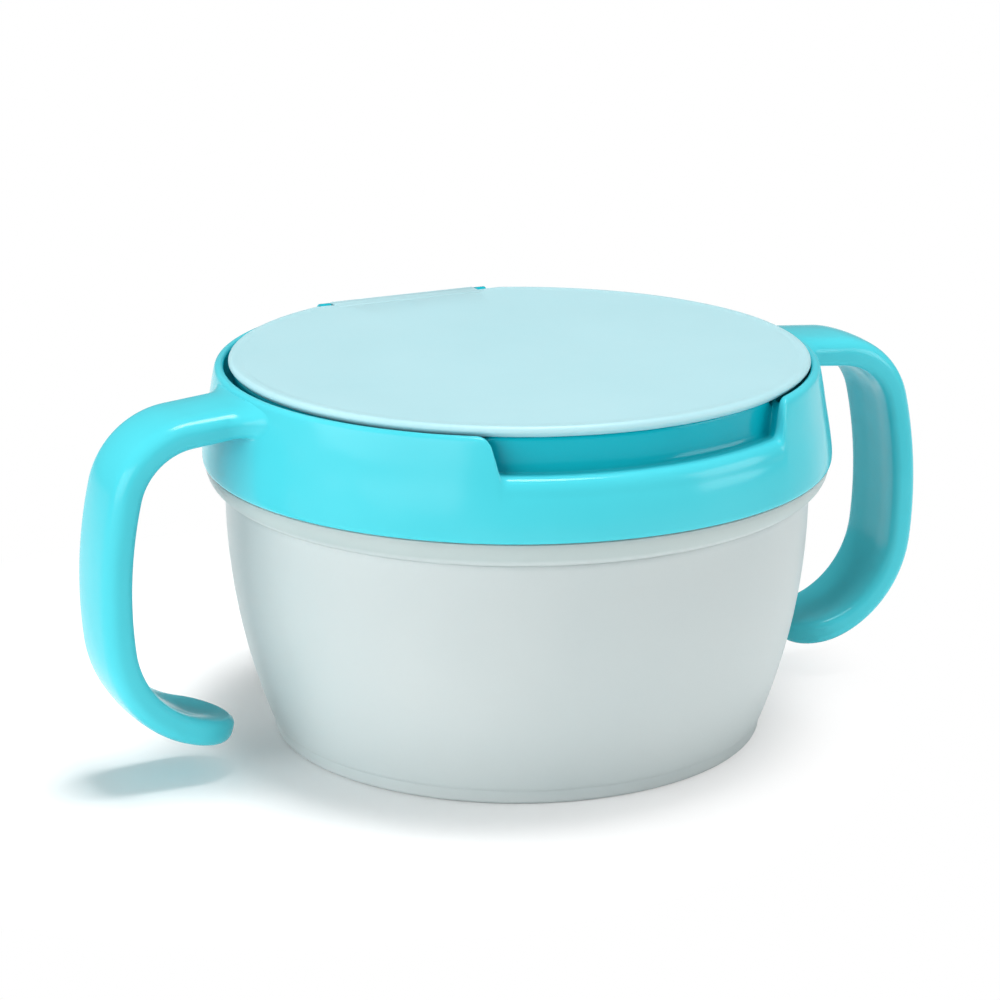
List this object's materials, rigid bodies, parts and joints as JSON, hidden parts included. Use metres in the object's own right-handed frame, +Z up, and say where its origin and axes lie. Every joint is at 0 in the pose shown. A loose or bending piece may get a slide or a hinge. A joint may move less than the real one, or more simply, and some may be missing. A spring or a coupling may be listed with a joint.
{
  "type": "toddler snack container",
  "caption": "Toddler's snack container: a translucent bowl, a clip-fit collar with two hooked handles, a soft flap insert and a hinged flat lid",
  "frame": {"origin": "Middle of the foot ring, on the table's plane", "axes": "+X along the handles, towards the right one; +Y from the finger notch to the lid's hinge; +Z up"},
  "size_m": [0.1736, 0.12, 0.0735],
  "materials": {
    "bowl_plastic": "translucent frosted polypropylene, smooth and softly shiny",
    "collar_plastic": "glossy aqua polypropylene, lightly translucent",
    "flap_rubber": "soft satin elastomer, aqua",
    "lid_plastic": "pale aqua polypropylene, satin and slightly translucent"
  },
  "bodies": {
    "bowl": {"bowl": "bowl_plastic"},
    "collar": {"collar": "collar_plastic", "handle_left": "collar_plastic", "handle_right": "collar_plastic", "flap_ring": "flap_rubber"},
    "lid": {"lid": "lid_plastic"},
    "flap_1": {"flap_1": "flap_rubber"},
    "flap_2": {"flap_2": "flap_rubber"},
    "flap_3": {"flap_3": "flap_rubber"},
    "flap_4": {"flap_4": "flap_rubber"},
    "flap_5": {"flap_5": "flap_rubber"},
    "flap_6": {"flap_6": "flap_rubber"}
  },
  "joints": [
    {"name": "collar_lift", "type": "slide", "parent": "bowl", "child": "collar", "axis": [0, 0, 1], "range_m": [0, 0.08]},
    {"name": "lid_hinge", "type": "hinge", "parent": "collar", "child": "lid", "pos_m": [0, 0.0522, 0.0714], "axis": [-1, 0, 0], "range_deg": [0, 175]},
    {"name": "flap_1_bend", "type": "hinge", "parent": "collar", "child": "flap_1", "pos_m": [0.03641, 0.02102, 0.06255], "axis": [0.5, -0.866, 0], "range_deg": [0, 60], "stiffness_Nm_per_rad": 0.02, "springref_deg": -4.98},
    {"name": "flap_2_bend", "type": "hinge", "parent": "collar", "child": "flap_2", "pos_m": [0, 0.04204, 0.06255], "axis": [1, 0, 0], "range_deg": [0, 60], "stiffness_Nm_per_rad": 0.02, "springref_deg": -4.98},
    {"name": "flap_3_bend", "type": "hinge", "parent": "collar", "child": "flap_3", "pos_m": [-0.03641, 0.02102, 0.06255], "axis": [0.5, 0.866, 0], "range_deg": [0, 60], "stiffness_Nm_per_rad": 0.02, "springref_deg": -4.98},
    {"name": "flap_4_bend", "type": "hinge", "parent": "collar", "child": "flap_4", "pos_m": [-0.03641, -0.02102, 0.06255], "axis": [-0.5, 0.866, 0], "range_deg": [0, 60], "stiffness_Nm_per_rad": 0.02, "springref_deg": -4.98},
    {"name": "flap_5_bend", "type": "hinge", "parent": "collar", "child": "flap_5", "pos_m": [0, -0.04204, 0.06255], "axis": [-1, 0, 0], "range_deg": [0, 60], "stiffness_Nm_per_rad": 0.02, "springref_deg": -4.98},
    {"name": "flap_6_bend", "type": "hinge", "parent": "collar", "child": "flap_6", "pos_m": [0.03641, -0.02102, 0.06255], "axis": [-0.5, -0.866, 0], "range_deg": [0, 60], "stiffness_Nm_per_rad": 0.02, "springref_deg": -4.98}
  ]
}
